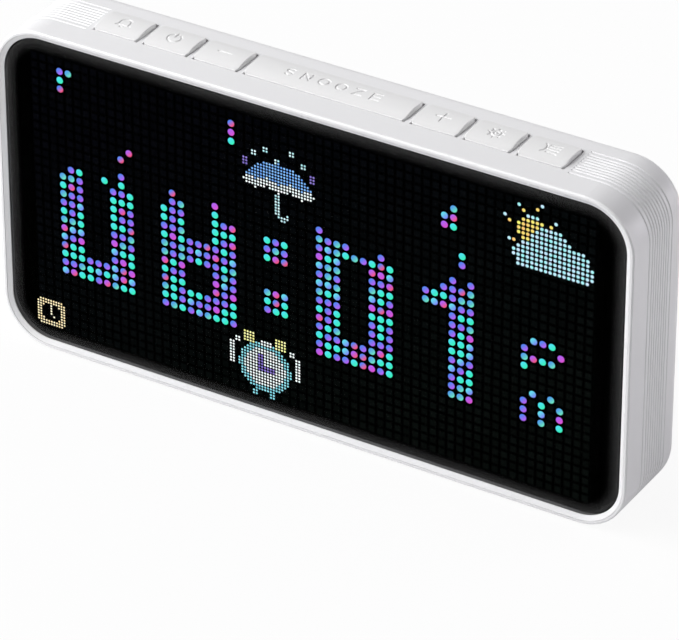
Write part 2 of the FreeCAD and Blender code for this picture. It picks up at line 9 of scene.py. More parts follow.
import bmesh
import bpy
import numpy as np
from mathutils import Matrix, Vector


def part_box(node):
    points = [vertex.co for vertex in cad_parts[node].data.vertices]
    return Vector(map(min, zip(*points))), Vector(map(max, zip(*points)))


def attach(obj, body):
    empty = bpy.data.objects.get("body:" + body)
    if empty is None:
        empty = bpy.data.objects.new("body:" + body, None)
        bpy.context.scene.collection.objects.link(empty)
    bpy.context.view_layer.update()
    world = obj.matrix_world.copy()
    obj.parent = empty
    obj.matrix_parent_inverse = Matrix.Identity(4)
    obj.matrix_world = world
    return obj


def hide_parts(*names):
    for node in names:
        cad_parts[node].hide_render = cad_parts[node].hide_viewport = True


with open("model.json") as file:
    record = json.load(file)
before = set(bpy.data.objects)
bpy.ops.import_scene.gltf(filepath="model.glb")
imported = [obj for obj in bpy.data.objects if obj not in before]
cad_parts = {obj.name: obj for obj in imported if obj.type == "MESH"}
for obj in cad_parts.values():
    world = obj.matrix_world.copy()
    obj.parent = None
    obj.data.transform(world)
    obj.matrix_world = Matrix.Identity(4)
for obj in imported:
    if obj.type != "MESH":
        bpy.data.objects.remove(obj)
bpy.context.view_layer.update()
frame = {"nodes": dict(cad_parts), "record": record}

MM = 0.001

# Places taken from the frame
housing_low, housing_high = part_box("main_housing")
mask_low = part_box("dot_mask")[0]
top_z = housing_high.z
middle_z = (housing_low.z + housing_high.z) / 2
half_width = (housing_high.x - housing_low.x) / 2
half_height = (housing_high.z - housing_low.z) / 2

# Window of the display, as the front frame leaves it
CORNER_RADIUS = 16.0 * MM
WALL = 2.0 * MM
WINDOW_INSET = 2.65 * MM
WINDOW_RADIUS = CORNER_RADIUS - WINDOW_INSET
window_half_x = half_width - WINDOW_INSET
window_half_z = half_height - WINDOW_INSET

# Window: dark and clear, with a painted glow of light in its colour that fades inward from a dark line at
# its edge
EDGE_GLOW_REACH = 5.0 * MM
EDGE_GLOW_POWER = 1.8
EDGE_LINE_START = 0.1 * MM
EDGE_LINE_END = 0.8 * MM
WINDOW_SHADE = 0.0003
EDGE_PAINTED_GLOW_SHADE = 0.12
WINDOW_SPECULAR = 0.006
WINDOW_ALPHA = 0.4

# Dot matrix: 64 columns and 32 rows, seen through the window from above and from the right
DOT_PITCH = 3.0 * MM
DOT_COLUMNS = 64
DOT_ROWS = 32
DOT_DIAMETER = 2.66 * MM
DOT_RISE = 0.06 * MM
MATRIX_SHIFT_X = -1.46 * MM
MATRIX_SHIFT_Z = -1.59 * MM
DIGIT_FIRST_COLUMN = 3
DIGIT_BOTTOM_ROW = 24
TIME_GLOW = 1.6
dot_y = mask_low.y - DOT_RISE

# Dots that are off: squares printed on a thin sheet, with a painted glow that is bluer at the upper left
# and greener at the lower right
SHEET_RISE = 0.03 * MM
SQUARE_CORE = 0.27
SQUARE_REACH = 0.42
SQUARE_LEAST = 0.6
GAP_SHADE = 0.0002
SQUARE_SHADE = 0.0025
OFF_SQUARE_GLOW_UPPER_LEFT = (0.0010, 0.0014, 0.0034, 1.0)
OFF_SQUARE_GLOW_LOWER_RIGHT = (0.0032, 0.0052, 0.0042, 1.0)
OFF_SQUARE_GLOW_BLEND_START = 0.4
OFF_SQUARE_GLOW_BLEND_END = 1.6

# Small dots of the pictures on the display, and each picture's place from the middle of the window
FINE_PITCH = 1.0 * MM
FINE_DIAMETER = 0.7 * MM
COARSE_PITCH = 1.5 * MM
COARSE_DIAMETER = 1.14 * MM
SMALL_CLOCK_PITCH = 0.94 * MM
SMALL_CLOCK_DIAMETER = 0.64 * MM
UMBRELLA_PLACE = (-10.8 * MM, 25.0 * MM)
WEATHER_PLACE = (79.8 * MM, 33.5 * MM)
ALARM_PLACE = (-16.0 * MM, -39.0 * MM)
SMALL_CLOCK_PLACE = (-92.9 * MM, -43.8 * MM)
PICTURE_GLOW = 1.9
PICTURE_REACH = 20

# Key caps, as the frame has them, with softened edges and engraved signs
KEY_FLANGE_REACH = 0.6 * MM
KEY_FLANGE_THICKNESS = 1.0 * MM
KEY_WALL = 1.2 * MM
KEY_SKIN = 1.0 * MM
KEY_CORNER = 0.7 * MM
KEY_EDGE = 0.3 * MM
KEY_RISES = (0.3 * MM, 1.5 * MM, 0.75 * MM)
KEY_PEAK_SHARE = 0.6
KEY_STEM_SIDE = 3.2 * MM
KEY_STEM_DROP = 1.0 * MM
KEY_SHARP_ANGLE = math.radians(50)
SIGN_STEP = 0.13 * MM
SIGN_MARGIN = 0.5 * MM
SIGN_DEPTH = 0.26 * MM
SIGN_HALF_STROKE = 0.22 * MM
SIGN_SLOPE = 0.13 * MM
PLAIN_STEP = 0.9 * MM
key_low, key_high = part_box("bell_key")
key_run = key_high.y - key_low.y - 2 * KEY_FLANGE_REACH

# Lengths in metres, and a square of one, that count as none
NO_LENGTH = 1e-7
SAME_PLACE = 1e-6
LEAST_SQUARE = 1e-12

# Camera
CAMERA_AZIMUTH = math.radians(31.05)
CAMERA_ELEVATION = math.radians(32.02)
CAMERA_DISTANCE = 1.5
CAMERA_LENS = 269.5
CAMERA_SENSOR = 36
CAMERA_NEAR = 0.1
CAMERA_FAR = 50
CAMERA_TARGET = Vector((0, -0.001, 0.0556))
CAMERA_SHIFT_RIGHT = 0.002446
CAMERA_SHIFT_UP = -0.019764

# Finishes: the white of the case, and the widths and depths of patches, streaks and tracks
WHITE_PLASTIC = (0.83, 0.83, 0.84, 1.0)
SHADE_PATCH = 40 * MM
GLOSS_PATCH = 6 * MM
STREAK_WIDTH = 0.5 * MM
STREAK_DEPTH = 0.01 * MM
STAIN_WIDTH = 5 * MM
TRACK_SPACING = 5 * MM
TRACK_RISE = 0.035 * MM
BOARD_PATCH = 9 * MM
WINDOW_RIPPLE = 25 * MM
PICTURE_PATCH = 1.6 * MM

# Studio and floor
SOFT_COLOUR = (0.98, 0.96, 1.0, 1.0)
SOFT_STRENGTH = 0.205
FLOOR_REACH = 4.0
FLOOR_WHITE_SHARE = 0.92
FLOOR_SHADES = (0.86, 0.88)


def linear(red, green, blue):
    """Colour given as it looks on a screen, from 0 to 255, as the shader's own values."""
    parts = []
    for part in (red / 255, green / 255, blue / 255):
        parts.append(part / 12.92 if part <= 0.04045 else ((part + 0.055) / 1.055) ** 2.4)
    return (*parts, 1.0)


def grey(value):
    """Neutral colour from one shader value."""
    return (value, value, value, 1.0)


# Node trees


def node(tree, kind, values=None, **settings):
    """New shader node with its settings, and with its inputs set or linked."""
    made = tree.nodes.new("ShaderNode" + kind)
    for key, value in settings.items():
        setattr(made, key, value)
    for key, value in (values or {}).items():
        if isinstance(value, bpy.types.NodeSocket):
            tree.links.new(value, made.inputs[key])
        else:
            made.inputs[key].default_value = value
    return made


def maths(tree, operation, first, second=0.0):
    """Result of a Math node."""
    return node(tree, "Math", {0: first, 1: second}, operation=operation).outputs[0]


def remap(tree, value, low, high, new_low, new_high):
    """Value moved from one range to another and kept inside it."""
    made = node(tree, "MapRange", {0: value, 1: low, 2: high, 3: new_low, 4: new_high})
    return made.outputs[0]


def place(tree):
    """Point of the surface in the clock's own frame."""
    return node(tree, "TexCoord").outputs["Object"]


def noise(tree, scale, detail=2.0, roughness=0.5, vector=None):
    """Noise with features of about one over scale metres."""
    values = {"Vector": vector or place(tree), "Scale": scale, "Detail": detail, "Roughness": roughness}
    return node(tree, "TexNoise", values).outputs["Fac"]


def blend_colours(tree, factor, first, second):
    """Mix of two colours."""
    made = node(tree, "Mix", {"Factor": factor}, data_type="RGBA")
    for socket, value in ((6, first), (7, second)):
        if isinstance(value, bpy.types.NodeSocket):
            tree.links.new(value, made.inputs[socket])
        else:
            made.inputs[socket].default_value = value
    return made.outputs[2]


def bump(tree, height, distance):
    """Normal from a height, with its depth in metres."""
    return node(tree, "Bump", {"Height": height, "Distance": distance, "Strength": 1.0}).outputs[0]


def start_material(name):
    """New material with one Principled shader."""
    made = bpy.data.materials.new(name)
    made.use_nodes = True
    tree = made.node_tree
    tree.nodes.clear()
    shader = node(tree, "BsdfPrincipled")
    output = node(tree, "OutputMaterial")
    tree.links.new(shader.outputs[0], output.inputs[0])
    return made, tree, shader


def moulded(name, colour, roughness=0.45, grain=0.22, depth=0.012, shade=0.03, **shader_values):
    """Moulded plastic or rubber: grain of a size and depth in mm, faint changes of shade and gloss."""
    made, tree, shader = start_material(name)
    fine = noise(tree, 1 / (grain * MM), 3.0, 0.6)
    wide = noise(tree, 1 / SHADE_PATCH)
    darker = tuple(part * (1 - shade) for part in colour[:3]) + (1.0,)
    tree.links.new(blend_colours(tree, wide, darker, colour), shader.inputs["Base Color"])
    patches = noise(tree, 1 / GLOSS_PATCH, 3.0)
    gloss = remap(tree, patches, 0.3, 0.7, roughness - 0.04, roughness + 0.04)
    tree.links.new(gloss, shader.inputs["Roughness"])
    tree.links.new(bump(tree, fine, depth * MM), shader.inputs["Normal"])
    for key, value in shader_values.items():
        shader.inputs[key.replace("_", " ")].default_value = value
    return made


def brushed(name, colour, roughness=0.32, stretch=(1.0, 1.0, 12.0)):
    """Drawn or plated metal with fine streaks along one axis."""
    made, tree, shader = start_material(name)
    stretched = node(tree, "Mapping", {"Vector": place(tree), "Scale": stretch}).outputs[0]
    streaks = noise(tree, 1 / STREAK_WIDTH, 4.0, 0.7, stretched)
    stain = noise(tree, 1 / STAIN_WIDTH, 3.0)
    darker = tuple(part * 0.8 for part in colour[:3]) + (1.0,)
    tree.links.new(blend_colours(tree, stain, darker, colour), shader.inputs["Base Color"])
    shader.inputs["Metallic"].default_value = 1.0
    gloss = remap(tree, streaks, 0.3, 0.7, roughness - 0.08, roughness + 0.1)
    tree.links.new(gloss, shader.inputs["Roughness"])
    tree.links.new(bump(tree, streaks, STREAK_DEPTH), shader.inputs["Normal"])
    return made


def circuit_board(name):
    """Green solder mask over faint copper tracks."""
    made, tree, shader = start_material(name)
    point = place(tree)
    cells = node(tree, "TexVoronoi", {"Vector": point, "Scale": 1 / TRACK_SPACING},
                 feature="DISTANCE_TO_EDGE", distance="CHEBYCHEV")
    tracks = remap(tree, cells.outputs["Distance"], 0.04, 0.07, 1.0, 0.0)
    mottled = noise(tree, 1 / BOARD_PATCH, 3.0)
    mask = blend_colours(tree, mottled, linear(14, 66, 40), linear(20, 82, 50))
    surface = blend_colours(tree, tracks, mask, linear(34, 112, 66))
    tree.links.new(surface, shader.inputs["Base Color"])
    tree.links.new(remap(tree, mottled, 0.3, 0.7, 0.28, 0.38), shader.inputs["Roughness"])
    tree.links.new(bump(tree, tracks, TRACK_RISE), shader.inputs["Normal"])
    return made


def edge_distance(tree):
    """How far a point of the front lies inside the window's edge."""
    parts = node(tree, "SeparateXYZ", {0: place(tree)}).outputs
    run_x = window_half_x - WINDOW_RADIUS
    run_z = window_half_z - WINDOW_RADIUS
    side_x = maths(tree, "SUBTRACT", maths(tree, "ABSOLUTE", parts["X"]), run_x)
    from_middle = maths(tree, "SUBTRACT", parts["Z"], middle_z)
    side_z = maths(tree, "SUBTRACT", maths(tree, "ABSOLUTE", from_middle), run_z)
    past_x = maths(tree, "MAXIMUM", side_x, 0.0)
    past_z = maths(tree, "MAXIMUM", side_z, 0.0)
    squares = maths(tree, "ADD", maths(tree, "POWER", past_x, 2.0), maths(tree, "POWER", past_z, 2.0))
    outside = maths(tree, "SQRT", squares)
    inside = maths(tree, "MINIMUM", maths(tree, "MAXIMUM", side_x, side_z), 0.0)
    signed = maths(tree, "ADD", outside, inside)
    return maths(tree, "SUBTRACT", WINDOW_RADIUS, signed)


def smoked_window(name):
    """Smoked window, clear enough for the dots, with a painted grey glow of light along its edge."""
    made, tree, shader = start_material(name)
    inward = edge_distance(tree)
    fade = remap(tree, inward, 0.0, EDGE_GLOW_REACH, 1.0, 0.0)
    glow = maths(tree, "POWER", fade, EDGE_GLOW_POWER)
    ripple = noise(tree, 1 / WINDOW_RIPPLE)
    glow = maths(tree, "MULTIPLY", glow, remap(tree, ripple, 0.3, 0.7, 0.92, 1.08))
    line = remap(tree, inward, EDGE_LINE_START, EDGE_LINE_END, 0.0, 1.0)
    glow = maths(tree, "MULTIPLY", glow, line)
    # Painted light: the base colour turns a lighter grey towards the edge, standing in for light caught at
    # the lens's edge
    shade = blend_colours(tree, glow, grey(WINDOW_SHADE), grey(EDGE_PAINTED_GLOW_SHADE))
    tree.links.new(shade, shader.inputs["Base Color"])
    tree.links.new(remap(tree, ripple, 0.3, 0.7, 0.1, 0.14), shader.inputs["Roughness"])
    shader.inputs["Specular IOR Level"].default_value = WINDOW_SPECULAR
    shader.inputs["Alpha"].default_value = WINDOW_ALPHA
    return made


def matrix_cell(tree):
    """Column and row of a point, its place inside their cell from -0.5 to 0.5, and the cell's number."""
    parts = node(tree, "SeparateXYZ", {0: place(tree)}).outputs
    from_middle = maths(tree, "SUBTRACT", parts["X"], MATRIX_SHIFT_X)
    column = maths(tree, "ADD", maths(tree, "DIVIDE", from_middle, DOT_PITCH), DOT_COLUMNS / 2)
    above_middle = maths(tree, "SUBTRACT", parts["Z"], middle_z + MATRIX_SHIFT_Z)
    row = maths(tree, "ADD", maths(tree, "DIVIDE", above_middle, DOT_PITCH), DOT_ROWS / 2)
    across = maths(tree, "SUBTRACT", maths(tree, "FRACT", column), 0.5)
    upward = maths(tree, "SUBTRACT", maths(tree, "FRACT", row), 0.5)
    number = node(tree, "CombineXYZ", {0: maths(tree, "FLOOR", column), 1: maths(tree, "FLOOR", row)})
    return column, row, across, upward, number.outputs[0]


def dot_mask_black(name):
    """Matt black plate with the faint squares of the dots that are off, which carry a painted glow of
    light.
    """
    made, tree, shader = start_material(name)
    column, row, across, upward, number = matrix_cell(tree)
    reach = maths(tree, "MAXIMUM", maths(tree, "ABSOLUTE", across), maths(tree, "ABSOLUTE", upward))
    square = remap(tree, reach, SQUARE_CORE, SQUARE_REACH, 1.0, 0.0)
    for value, count in ((column, DOT_COLUMNS), (row, DOT_ROWS)):
        square = maths(tree, "MULTIPLY", square, maths(tree, "GREATER_THAN", value, 0.0))
        square = maths(tree, "MULTIPLY", square, maths(tree, "LESS_THAN", value, float(count)))
    uneven = node(tree, "TexWhiteNoise", {"Vector": number}).outputs["Value"]
    square = maths(tree, "MULTIPLY", square, remap(tree, uneven, 0.0, 1.0, SQUARE_LEAST, 1.0))
    surface = blend_colours(tree, square, grey(GAP_SHADE), grey(SQUARE_SHADE))
    tree.links.new(surface, shader.inputs["Base Color"])
    rightward = maths(tree, "DIVIDE", column, DOT_COLUMNS)
    downward = maths(tree, "SUBTRACT", 1.0, maths(tree, "DIVIDE", row, DOT_ROWS))
    diagonal = maths(tree, "ADD", rightward, downward)
    share = remap(tree, diagonal, OFF_SQUARE_GLOW_BLEND_START, OFF_SQUARE_GLOW_BLEND_END, 0.0, 1.0)
    painted_glow_tint = blend_colours(tree, share, OFF_SQUARE_GLOW_UPPER_LEFT, OFF_SQUARE_GLOW_LOWER_RIGHT)
    # Painted light: the squares of the dots that are off glow faintly though they are no lamps, bluer at
    # the upper left and greener at the lower right
    tree.links.new(painted_glow_tint, shader.inputs["Emission Color"])
    tree.links.new(square, shader.inputs["Emission Strength"])
    shader.inputs["Roughness"].default_value = 0.8
    shader.inputs["Specular IOR Level"].default_value = 0.0
    return made


def lit_dots(name, pairs, strength):
    """Glowing dots, each shaded from one colour of a pair at its upper left to the other.

    A pair is the share of the dots that have it and its two colours.
    """
    made, tree, shader = start_material(name)
    across, upward, number = matrix_cell(tree)[2:]
    draw = node(tree, "TexWhiteNoise", {"Vector": number}).outputs["Value"]
    slope = maths(tree, "SUBTRACT", across, upward)
    first_ends, second_starts = -0.32, 0.42
    shift = remap(tree, slope, first_ends, second_starts, 0.0, 1.0)
    ramps = []
    for side in range(2):
        ramp = node(tree, "ValToRGB", {0: draw})
        ramp.color_ramp.interpolation = "CONSTANT"
        elements = ramp.color_ramp.elements
        elements.remove(elements[1])
        elements[0].color = pairs[0][1 + side]
        reached = pairs[0][0]
        for share, *colours in pairs[1:]:
            elements.new(reached).color = colours[side]
            reached += share
        ramps.append(ramp.outputs[0])
    colour = blend_colours(tree, shift, ramps[0], ramps[1])
    radius = maths(tree, "SQRT", maths(tree, "ADD", maths(tree, "POWER", across, 2.0),
                                       maths(tree, "POWER", upward, 2.0)))
    rim_start, rim_end, rim_level = 0.3, 0.46, 0.72
    rim = remap(tree, radius, rim_start, rim_end, 1.0, rim_level)
    tree.links.new(colour, shader.inputs["Emission Color"])
    tree.links.new(maths(tree, "MULTIPLY", rim, strength), shader.inputs["Emission Strength"])
    shader.inputs["Base Color"].default_value = grey(0.01)
    shader.inputs["Roughness"].default_value = 0.4
    made.cycles.emission_sampling = "NONE"
    return made


def icon_dots(name, first, second, strength):
    """Small glowing dots whose colour wanders between two near shades."""
    made, tree, shader = start_material(name)
    wander = remap(tree, noise(tree, 1 / PICTURE_PATCH), 0.35, 0.65, 0.0, 1.0)
    tree.links.new(blend_colours(tree, wander, first, second), shader.inputs["Emission Color"])
    shader.inputs["Emission Strength"].default_value = strength
    shader.inputs["Base Color"].default_value = grey(0.01)
    shader.inputs["Roughness"].default_value = 0.4
    made.cycles.emission_sampling = "NONE"
    return made


# Meshes


def add_piece(name, mesh, material, body="root"):
    """Put a mesh into the scene as a piece that rides on a body."""
    piece = bpy.data.objects.new(name, mesh)
    bpy.context.scene.collection.objects.link(piece)
    mesh.materials.append(material)
    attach(piece, body)
    return piece


def dome_mesh(name, centres, radius, rise, sides):
    """One mesh of many low domes that face the front, at points given as x and z."""
    mesh = bpy.data.meshes.new(name)
    work = bmesh.new()
    inner_share = 0.78
    inner_lift = 0.8
    for x, z in centres:
        rings = []
        for share, lift in ((1.0, 0.0), (inner_share, inner_lift)):
            ring = []
            for number in range(sides):
                angle = 2 * math.pi * number / sides
                spot = (x + radius * share * math.cos(angle), dot_y + rise * (1 - lift),
                        z + radius * share * math.sin(angle))
                ring.append(work.verts.new(spot))
            rings.append(ring)
        outer, inner = rings
        work.faces.new(inner)
        for number in range(sides):
            following = (number + 1) % sides
            work.faces.new((outer[number], outer[following], inner[following], inner[number]))
    bmesh.ops.recalc_face_normals(work, faces=work.faces)
    work.to_mesh(mesh)
    work.free()
    return mesh


# Content of the display


def block_of(columns, rows):
    """Every dot of a block, given by its columns and rows."""
    return {(column, row) for column in columns for row in rows}


def digit_dots():
    """Dots of the time, as columns from the first digit and rows up from its foot."""
    dots = block_of((0, 1, 2, 6, 7, 8), range(12)) | block_of((3, 4, 5), range(3))
    dots |= {(1, 12), (2, 12), (7, 12), (7, 13), (5, 12), (7, 15), (8, 16)}
    dots |= {(0, 23), (1, 23), (0, 22), (0, 21)}
    dots |= block_of((12, 13, 14, 18, 19, 20), range(12)) | block_of((15, 16, 17), range(3))
    dots |= block_of((15, 16, 17), range(6, 9)) | {(13, 12), (13, 13), (14, 12), (18, 12), (18, 13)}
    dots |= block_of((20,), (21, 22, 23))
    dots |= block_of((24, 25, 26), (3, 4, 5, 9, 10, 11))
    dots |= block_of((30, 31, 32, 36, 37, 38), range(13)) | block_of((33, 34, 35), (0, 1, 2, 12))
    dots |= {(30, 13), (31, 13), (32, 13), (33, 13), (37, 13), (30, 14)}
    dots |= block_of((45, 46, 47), range(13)) | block_of((42, 43, 44), (10, 11))
    dots |= {(45, 13), (47, 13), (44, 12), (46, 15), (46, 16)}
    dots |= {(45, 21), (44, 20), (45, 20), (44, 19), (45, 19)}
    return dots


def suffix_dots():
    """Dots of the two small letters after the time."""
    dots = block_of((54, 55, 56), (9,)) | {(53, 8), (57, 8)}
    dots |= block_of((53, 54, 55, 56), (7,)) | {(53, 6)}
    dots |= {(54, 3), (56, 3)} | block_of((53, 55, 57), range(3))
    return dots


def matrix_point(column, row):
    """Middle of one dot of the matrix, as x and z."""
    from_left = DIGIT_FIRST_COLUMN + column - (DOT_COLUMNS - 1) / 2
    from_top = DIGIT_BOTTOM_ROW - row - (DOT_ROWS - 1) / 2
    return from_left * DOT_PITCH + MATRIX_SHIFT_X, middle_z - from_top * DOT_PITCH + MATRIX_SHIFT_Z


def make_sheet(finish):
    """Thin printed sheet on the mask with the faint squares and their painted glow, clear of the window's
    rear face.
    """
    mesh = bpy.data.meshes.new("matrix_sheet")
    work = bmesh.new()
    for vertex in bmesh.ops.create_cube(work, size=1.0)["verts"]:
        x = vertex.co.x * DOT_COLUMNS * DOT_PITCH + MATRIX_SHIFT_X
        z = vertex.co.z * DOT_ROWS * DOT_PITCH + MATRIX_SHIFT_Z + middle_z
        vertex.co = (x, mask_low.y - SHEET_RISE * (0.5 - vertex.co.y), z)
    work.to_mesh(mesh)
    work.free()
    add_piece("matrix_sheet", mesh, finish)


def make_time():
    """The time, with its loose dots."""
    aqua, green, pale_green = linear(70, 226, 238), linear(48, 240, 186), linear(104, 222, 190)
    blue, sky, cyan = linear(78, 126, 240), linear(76, 156, 230), linear(96, 218, 240)
    violet, pink, red = linear(172, 92, 238), linear(214, 76, 206), linear(236, 80, 122)
    lilac = linear(120, 132, 240)
    pairs = [
        (0.30, aqua, green),
        (0.31, blue, violet),
        (0.12, sky, pale_green),
        (0.09, cyan, lilac),
        (0.07, blue, red),
        (0.07, violet, pink),
        (0.04, violet, red),
    ]
    glow = lit_dots("matrix_dots", pairs, TIME_GLOW)
    centres = [matrix_point(column, row) for column, row in sorted(digit_dots() | suffix_dots())]
    mesh = dome_mesh("time_dots", centres, DOT_DIAMETER / 2, DOT_RISE, sides=20)
    add_piece("time_dots", mesh, glow)


def picture(name, spot, pitch, diameter, groups):
    """One picture of small dots: cells counted from its middle, with a glow for each group of cells."""
    middle_x = spot[0]
    level = middle_z + spot[1]
    for number, (cells, glow) in enumerate(groups):
        centres = [(middle_x + column * pitch, level + row * pitch) for column, row in sorted(cells)]
        mesh = dome_mesh(f"{name}_dots_{number}", centres, diameter / 2, DOT_RISE / 2, sides=10)
        add_piece(f"{name}_dots_{number}", mesh, glow)


def round_cells(centre_column, centre_row, radius, low_row=-PICTURE_REACH):
    """Cells of a disc, from a lowest row up."""
    reach = range(-PICTURE_REACH, PICTURE_REACH + 1)
    return {(column, row) for column in reach for row in reach
            if math.hypot(column - centre_column, row - centre_row) <= radius and row >= low_row}


def make_umbrella(glows):
    """Umbrella in the rain."""
    canopy = set()
    trim = set()
    half_span, height, foot_row = 12.6, 11, -3
    scallop_columns, scallop_rise, trim_rows = 8, 1.6, 3
    for column in range(-12, 13):
        hem = -2 + round(scallop_rise * abs(math.sin(math.pi * column / scallop_columns)))
        for row in range(-4, 10):
            if (column / half_span) ** 2 + ((row - foot_row) / height) ** 2 <= 1 and row >= hem:
                (trim if row < hem + trim_rows else canopy).add((column, row))
    handle = block_of((-1, 0), range(-9, -2)) | block_of((-1, 0), (8, 9))
    handle |= {(0, -10), (1, -11), (2, -11), (3, -10), (3, -9), (1, -10), (2, -10)}
    rain = set()
    for column, row in ((-9, 9), (-5, 11), (4, 12), (8, 9)):
        rain |= block_of((column, column + 1), (row, row + 1))
    far_rain = block_of((-12, -11), (5, 6, 7)) | block_of((11, 12), (5, 6, 7))
    picture("umbrella", UMBRELLA_PLACE, FINE_PITCH, FINE_DIAMETER,
            [(canopy, glows["blue"]), (trim, glows["white"]), (handle | rain, glows["pale"]),
             (far_rain, glows["purple"])])


def make_weather(glows):
    """Sun behind a cloud."""
    cloud = block_of(range(-7, 9), (-6, -5, -4)) | block_of((9,), (-5, -4, -3))
    for column, row, radius in ((-5.5, -3.5, 2.8), (0, -1, 4.5), (5.5, -2.5, 3.3)):
        cloud |= round_cells(column, row, radius, low_row=-6)
    sun_column, sun_row, sun_radius = -4, 2, 3.6
    sun = round_cells(sun_column, sun_row, sun_radius) - cloud
    sun_top = {(column, row) for column, row in sun if row > 4}
    inner_rays = set()
    outer_rays = set()
    for turn in (30, 75, 120, 165, 210):
        angle = math.radians(turn)
        for rays, reach in ((inner_rays, 5.0), (outer_rays, 6.2)):
            across = sun_column + reach * math.cos(angle)
            upward = sun_row + reach * math.sin(angle)
            rays.add((round(across), round(upward)))
    picture("weather", WEATHER_PLACE, COARSE_PITCH, COARSE_DIAMETER,
            [(cloud | sun_top | outer_rays, glows["sky"]),
             ((sun - sun_top) | (inner_rays - cloud), glows["sun"])])


def make_alarm_clock(glows):
    """Round clock with two bells."""
    knob = block_of((-1, 0, 1, 2), (8, 9))
    disc = (round_cells(-0.5, 0, 8.6) | round_cells(0.5, 0, 8.6)) - knob
    face = round_cells(-0.5, 0, 6.6) | round_cells(0.5, 0, 6.6)
    hands = block_of((-2, -1), range(-1, 5)) | block_of(range(4), (-1, 0))
    bells = block_of(range(-7, -3), range(8, 12)) | block_of(range(4, 8), range(8, 12))
    feet = block_of((-4, -3), (-10, -9)) | block_of((2, 3), (-10, -9))
    shake = set()
    for side in (-1, 1):
        shake |= block_of((side * 12, side * 11), range(-1, 7)) | block_of((side * 10, side * 9), (7, 8))
    picture("alarm", ALARM_PLACE, FINE_PITCH, FINE_DIAMETER,
            [((disc - face) | feet, glows["teal"]), ((face - hands) | shake | knob, glows["white"]),
             (bells, glows["yellow"]), (hands, glows["purple"])])


def make_small_clock(glows):
    """Square clock sign in the corner."""
    outer = block_of(range(-5, 6), range(-5, 5)) - {(-5, -5), (-5, 4), (5, -5), (5, 4)}
    frame_cells = outer - (block_of(range(-3, 4), range(-3, 3)) - {(-3, -3), (-3, 2), (3, -3), (3, 2)})
    hands = {(0, 2), (0, 1), (0, 0), (0, -1), (1, -2)}
    picture("clock", SMALL_CLOCK_PLACE, SMALL_CLOCK_PITCH, SMALL_CLOCK_DIAMETER,
            [(frame_cells, glows["amber"]), (hands, glows["cream"])])


def make_pictures():
    """Every small picture on the display."""
    shades = {
        "blue": ((92, 146, 226), (136, 190, 246)),
        "white": ((226, 244, 244), (255, 255, 255)),
        "pale": ((160, 220, 230), (225, 245, 250)),
        "purple": ((110, 94, 186), (146, 126, 210)),
        "sky": ((136, 222, 220), (198, 212, 240)),
        "sun": ((228, 228, 104), (236, 178, 106)),
        "teal": ((110, 198, 214), (152, 224, 236)),
        "yellow": ((236, 232, 132), (246, 246, 182)),
        "amber": ((255, 230, 170), (255, 244, 206)),
        "cream": ((250, 236, 196), (255, 250, 225)),
    }
    glows = {name: icon_dots(name + "_dots", linear(*first), linear(*second), PICTURE_GLOW)
             for name, (first, second) in shades.items()}
    make_umbrella(glows)
    make_weather(glows)
    make_alarm_clock(glows)
    make_small_clock(glows)


# Keys


def arc_points(centre, radius, start, end, count=18):
    """Points on an arc, with angles in degrees."""
    points = []
    for number in range(count + 1):
        angle = math.radians(start + (end - start) * number / count)
        points.append((centre[0] + radius * math.cos(angle), centre[1] + radius * math.sin(angle)))
    return points


def bell_sign():
    """Bell, in millimetres from the middle of its key."""
    crown = arc_points((0, 0.45), 1.65, 180, 0)
    dome = [(-2.25, -1.5), (-1.65, -0.9)] + crown + [(1.65, -0.9), (2.25, -1.5)]
    foot = [(-2.25, -1.5), (2.25, -1.5)]
    clapper = arc_points((0, -1.65), 0.65, 200, 340, 8)
    return [dome, foot, clapper]


def power_sign():
    """Broken ring with a bar."""
    ring = arc_points((0, -0.2), 2.15, 125, 415, 30)
    bar = [(0, 0.35), (0, 2.6)]
    return [ring, bar]


def minus_sign():
    """Short bar."""
    return [[(-2.1, 0), (2.1, 0)]]


def plus_sign():
    """Cross."""
    return [[(-2.2, 0), (2.2, 0)], [(0, -2.2), (0, 2.2)]]


def settings_sign():
    """Gear wheel with a hole."""
    wheel = arc_points((0, 0), 1.65, 0, 360, 28)
    hole = arc_points((0, 0), 0.7, 0, 360, 14)
    tooth_count = 8
    teeth = []
    for number in range(tooth_count):
        angle = 2 * math.pi * number / tooth_count
        teeth.append([(reach * math.cos(angle), reach * math.sin(angle)) for reach in (1.75, 2.4)])
    return [wheel, hole] + teeth


def brightness_sign():
    """Lamp bar with rays."""
    lamp = arc_points((-3.6, 0), 2.6, -52, 52, 12)
    first_ray, ray_step, spread = -1.8, 1.2, 1.25
    rays = []
    for number in range(4):
        level = first_ray + ray_step * number
        rays.append([(-0.7 + 0.25 * abs(level), level), (2.9, level * spread)])
    return [lamp] + rays


def snooze_sign():
    """The word SNOOZE in plain wide-set capitals."""
    half = 1.62
    wide = 1.32
    spacing = 5.8
    s_stretch, o_stretch, middle_bar_share = 1.35, 0.98, 0.85
    upper = arc_points((0, 0.5 * half), 0.5 * half, 35, 270, 14)
    lower = arc_points((0, -0.5 * half), 0.5 * half, 90, -145, 14)
    letter_s = [[(x * s_stretch, y) for x, y in upper + lower]]
    letter_n = [[(-wide, -half), (-wide, half), (wide, -half), (wide, half)]]
    letter_o = [[(x * o_stretch, y) for x, y in arc_points((0, 0), half, 0, 360, 28)]]
    letter_z = [[(-wide, half), (wide, half), (-wide, -half), (wide, -half)]]
    letter_e = [[(wide, half), (-wide, half), (-wide, -half), (wide, -half)],
                [(-wide, 0), (wide * middle_bar_share, 0)]]
    letters = (letter_s, letter_n, letter_o, letter_o, letter_z, letter_e)
    strokes = []
    for number, letter in enumerate(letters):
        shift = (number - (len(letters) - 1) / 2) * spacing
        strokes += [[(x + shift, y) for x, y in stroke] for stroke in letter]
    return strokes


